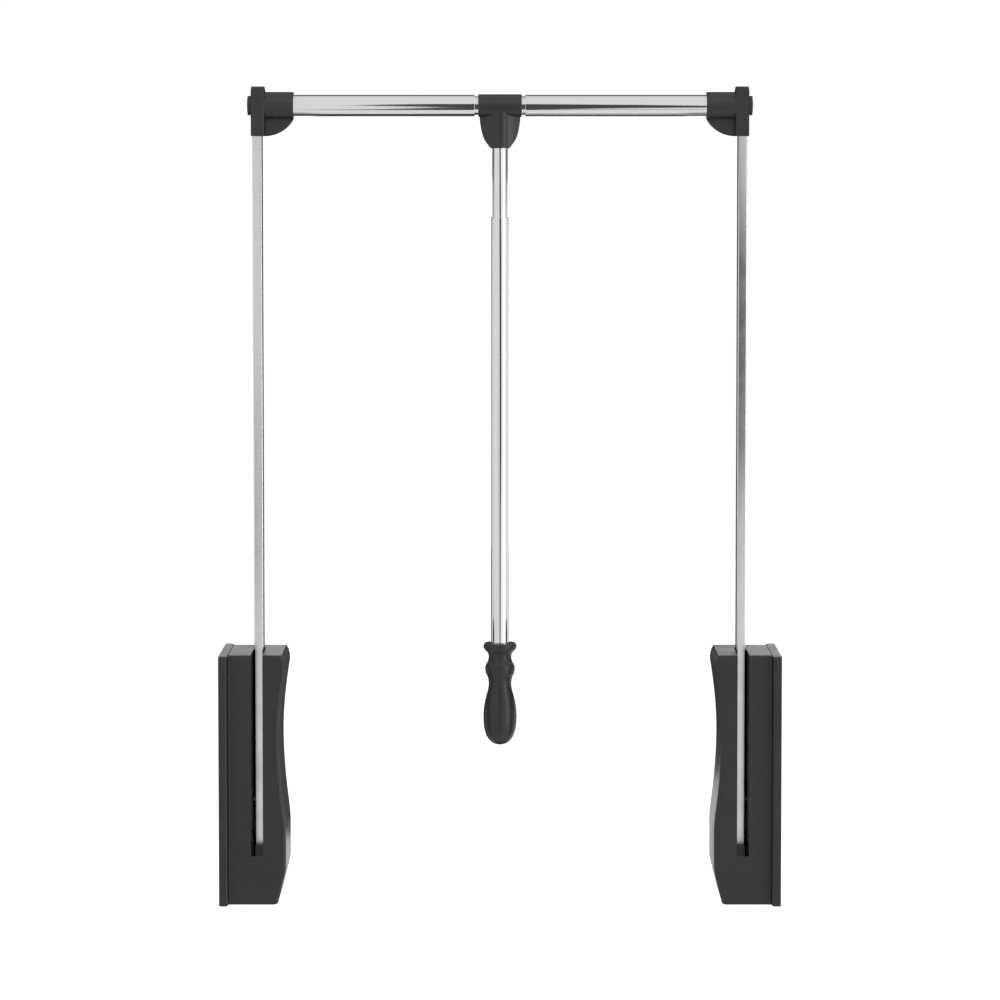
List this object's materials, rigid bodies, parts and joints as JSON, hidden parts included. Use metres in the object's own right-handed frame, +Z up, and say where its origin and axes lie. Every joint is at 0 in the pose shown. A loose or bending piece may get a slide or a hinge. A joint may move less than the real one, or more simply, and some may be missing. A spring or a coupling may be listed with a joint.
{
  "type": "pull down closet rod",
  "caption": "Pull-down closet rod: two wall housings with sprung swing arms carry a telescopic hanging rod that a pull rod with a handle brings down and forward.",
  "frame": {"origin": "middle of the left base plate's wall face, where it sits on the left side of the cabinet", "axes": "+X from the left wall to the right one along the hanging rod, +Y into the cabinet away from the user, +Z up along the arms"},
  "size_m": [0.576, 0.125, 0.8395],
  "materials": {
    "black_plastic": "moulded ABS, fine satin grain",
    "satin_chrome": "chrome on flat oval steel tube, satin",
    "bright_chrome": "bright chrome on round steel tube",
    "spring_steel": "oiled spring wire",
    "zinc_steel": "zinc plated",
    "grey_nylon": "moulded nylon",
    "black_rubber": "moulded rubber"
  },
  "bodies": {
    "left_housing": {"left_base_plate": "black_plastic", "left_housing_shell": "black_plastic", "left_housing_screw_1": "zinc_steel", "left_housing_screw_2": "zinc_steel", "left_housing_screw_3": "zinc_steel", "left_housing_screw_4": "zinc_steel", "left_pivot_axle": "zinc_steel", "left_spring_anchor": "zinc_steel", "left_lift_spring": "spring_steel", "left_stop_pad": "black_rubber"},
    "left_lift": {"left_arm": "satin_chrome", "left_arm_shoe": "black_plastic", "left_room_bush": "grey_nylon", "left_wall_bush": "grey_nylon", "left_spring_pin": "zinc_steel", "left_corner_connector": "black_plastic", "left_connector_cap": "black_plastic", "left_connector_bolt": "zinc_steel", "left_tube_plug": "zinc_steel", "left_outer_tube": "bright_chrome"},
    "centre_rod": {"centre_tube": "bright_chrome", "left_rod_glide": "grey_nylon", "right_rod_glide": "grey_nylon"},
    "tee_swivel": {"tee_connector": "black_plastic", "tee_swivel_screw": "zinc_steel", "tee_lock_screw": "zinc_steel", "upper_pull_tube": "bright_chrome", "pull_rod_glide": "grey_nylon"},
    "pull_handle": {"lower_pull_tube": "bright_chrome", "handle": "black_plastic"},
    "right_lift": {"right_arm": "satin_chrome", "right_arm_shoe": "black_plastic", "right_room_bush": "grey_nylon", "right_wall_bush": "grey_nylon", "right_spring_pin": "zinc_steel", "right_corner_connector": "black_plastic", "right_connector_cap": "black_plastic", "right_connector_bolt": "zinc_steel", "right_tube_plug": "zinc_steel", "right_outer_tube": "bright_chrome"},
    "right_housing": {"right_base_plate": "black_plastic", "right_housing_shell": "black_plastic", "right_housing_screw_1": "zinc_steel", "right_housing_screw_2": "zinc_steel", "right_housing_screw_3": "zinc_steel", "right_housing_screw_4": "zinc_steel", "right_pivot_axle": "zinc_steel", "right_spring_anchor": "zinc_steel", "right_lift_spring": "spring_steel", "right_stop_pad": "black_rubber"}
  },
  "joints": [
    {"name": "arm_swing", "type": "hinge", "parent": "left_housing", "child": "left_lift", "pos_m": [0.0385, 0.009, -0.0555], "axis": [1, 0, 0], "range_deg": [0, 95], "stiffness_Nm_per_rad": 9, "springref_deg": -17.19, "deforming": ["left_lift_spring"]},
    {"name": "left_rod_slide", "type": "slide", "parent": "left_lift", "child": "centre_rod", "axis": [1, 0, 0], "range_m": [0, 0.115]},
    {"name": "tee_swing", "type": "hinge", "parent": "centre_rod", "child": "tee_swivel", "pos_m": [0.288, 0.009, 0.691], "axis": [1, 0, 0], "continuous": true},
    {"name": "pull_rod_slide", "type": "slide", "parent": "tee_swivel", "child": "pull_handle", "axis": [0, 0, 1], "range_m": [-0.25, 0.068]},
    {"name": "right_rod_slide", "type": "slide", "parent": "centre_rod", "child": "right_lift", "axis": [1, 0, 0], "range_m": [0, 0.115]},
    {"name": "right_arm_swing", "type": "hinge", "parent": "right_lift", "child": "right_housing", "pos_m": [0.5375, 0.009, -0.0555], "axis": [1, 0, 0], "range_deg": [-95, 0], "deforming": ["right_lift_spring"]}
  ],
  "couplings": [
    {"joint": "right_arm_swing", "follows": "arm_swing", "ratio": -1}
  ]
}
